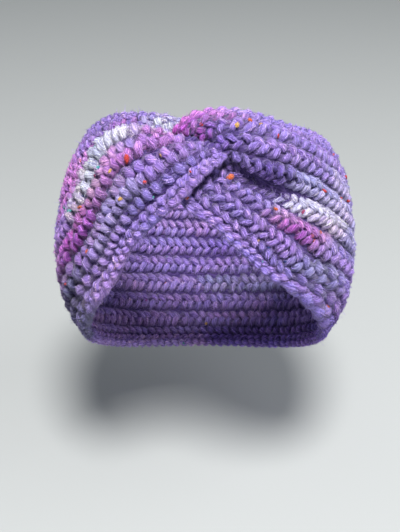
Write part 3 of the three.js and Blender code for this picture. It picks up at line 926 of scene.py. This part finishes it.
def wool_material(name):
    """Soft heathered wool: streaks along the fibres, partly painted shade and highlight, a drift of tone, a
    fine bump and a woolly sheen.
    """
    material = bpy.data.materials.new(name)
    material.use_nodes = True
    nodes, links = material.node_tree.nodes, material.node_tree.links
    shader = nodes["Principled BSDF"]
    for label, value in WOOL.items():
        shader.inputs[label].default_value = value
    # The dye attribute holds each piece's dye with its painted shade and highlight
    dye = nodes.new("ShaderNodeAttribute")
    dye.attribute_name = "dye"
    strand = nodes.new("ShaderNodeAttribute")
    strand.attribute_name = "strand"

    def noise(scale, detail):
        node = nodes.new("ShaderNodeTexNoise")
        node.inputs["Scale"].default_value = scale
        node.inputs["Detail"].default_value = detail
        node.inputs["Roughness"].default_value = PATTERN_ROUGHNESS
        links.new(strand.outputs["Vector"], node.inputs["Vector"])
        return node

    def toned(colour, fac, stops):
        ramp = nodes.new("ShaderNodeValToRGB")
        for element, (position, tone) in zip(ramp.color_ramp.elements, stops):
            element.position, element.color = position, (*tone, 1)
        for position, tone in stops[2:]:
            ramp.color_ramp.elements.new(position).color = (*tone, 1)
        links.new(fac, ramp.inputs["Fac"])
        mix = nodes.new("ShaderNodeMix")
        mix.data_type = "RGBA"
        mix.blend_type = "MULTIPLY"
        mix.inputs["Factor"].default_value = 1.0
        links.new(colour, mix.inputs[6])
        links.new(ramp.outputs["Color"], mix.inputs[7])
        return mix.outputs[2]

    streaks = noise(*STREAKS)
    drift = noise(*DRIFT)
    colour = toned(dye.outputs["Color"], streaks.outputs["Fac"], STREAK_TONES)
    colour = toned(colour, drift.outputs["Fac"], DRIFT_TONES)
    links.new(colour, shader.inputs["Base Color"])
    bump = nodes.new("ShaderNodeBump")
    bump.inputs["Strength"].default_value = 1.0
    bump.inputs["Distance"].default_value = STREAK_BUMP
    links.new(streaks.outputs["Fac"], bump.inputs["Height"])
    links.new(bump.outputs["Normal"], shader.inputs["Normal"])
    return material


def plain_material(name, colour, roughness):
    """Material of one colour and roughness."""
    material = bpy.data.materials.new(name)
    material.use_nodes = True
    shader = material.node_tree.nodes["Principled BSDF"]
    shader.inputs["Base Color"].default_value = (*colour, 1)
    shader.inputs["Roughness"].default_value = roughness
    return material


def make_camera():
    """Camera at the photograph's viewing angle."""
    data = bpy.data.cameras.new("camera")
    data.sensor_width = SENSOR
    data.lens = FOCAL_PIXELS / max(PICTURE_WIDTH, PICTURE_HEIGHT) * SENSOR
    camera = bpy.data.objects.new("camera", data)
    camera.location = CAMERA_PLACE
    camera.rotation_euler = (math.radians(90 - CAMERA_DOWN), 0, math.radians(CAMERA_TURN))
    bpy.context.collection.objects.link(camera)
    bpy.context.scene.camera = camera
    return camera


def make_light(name, place, size, watts, colour):
    """Round soft light that faces the middle of the headband."""
    data = bpy.data.lights.new(name, "AREA")
    data.shape = "DISK"
    data.size = size
    data.energy = watts
    data.color = colour
    light = bpy.data.objects.new(name, data)
    light.location = place
    light.rotation_euler = (-Vector(place)).to_track_quat("-Z", "Y").to_euler()
    bpy.context.collection.objects.link(light)


# Floor and sky, in metres and as linear colours
FLOOR_LEVEL = -0.16
FLOOR_HALF = 3.0
FLOOR_COLOUR = (0.43, 0.445, 0.44)
FLOOR_ROUGHNESS = 0.8
SKY_COLOUR = (0.80, 0.86, 0.92)
SKY_STRENGTH = 0.35

# Lights: name, place and size in metres, watts and colour
LIGHTS = (
    ("key", (0.12, -0.95, 1.92), 0.7, 73, (1.0, 0.99, 0.98)),
    ("fill", (0.9, -0.3, 0.9), 1.2, 6, (0.95, 0.96, 1.0)),
)


def make_studio():
    """Pale floor and background with soft light from above."""
    mesh = bpy.data.meshes.new("floor")
    corners = [(-1, -1), (1, -1), (1, 1), (-1, 1)]
    points = [(x * FLOOR_HALF, y * FLOOR_HALF, FLOOR_LEVEL) for x, y in corners]
    mesh.from_pydata(points, [], [(0, 1, 2, 3)])
    floor = bpy.data.objects.new("floor", mesh)
    bpy.context.collection.objects.link(floor)
    mesh.materials.append(plain_material("pale_floor", FLOOR_COLOUR, FLOOR_ROUGHNESS))
    world = bpy.data.worlds.new("studio")
    world.use_nodes = True
    sky = world.node_tree.nodes["Background"]
    sky.inputs["Color"].default_value = (*SKY_COLOUR, 1)
    sky.inputs["Strength"].default_value = SKY_STRENGTH
    bpy.context.scene.world = world
    for light in LIGHTS:
        make_light(*light)


camera = make_camera()
make_studio()
rng = np.random.default_rng(SEED)
yarns, rows = make_rows(rng)
fillers = make_fillers(rng)
core = make_core()
seam = make_seam(rng)
flecks = make_flecks(rows, camera, rng)
fibres = [make_fibres(f"yarn_fibres_{k + 1}", yarns, rng) for k in range(FIBRE_PIECES)]
fuzz = make_fuzz(rows, rng)
wool = wool_material("heathered_wool")
for piece in [*rows, *fillers, core, seam, flecks, *fibres, fuzz]:
    piece.data.materials.append(wool)
    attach(piece, "root")
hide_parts("band")
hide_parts("end_seam")
bpy.context.scene.view_settings.view_transform = "Standard"
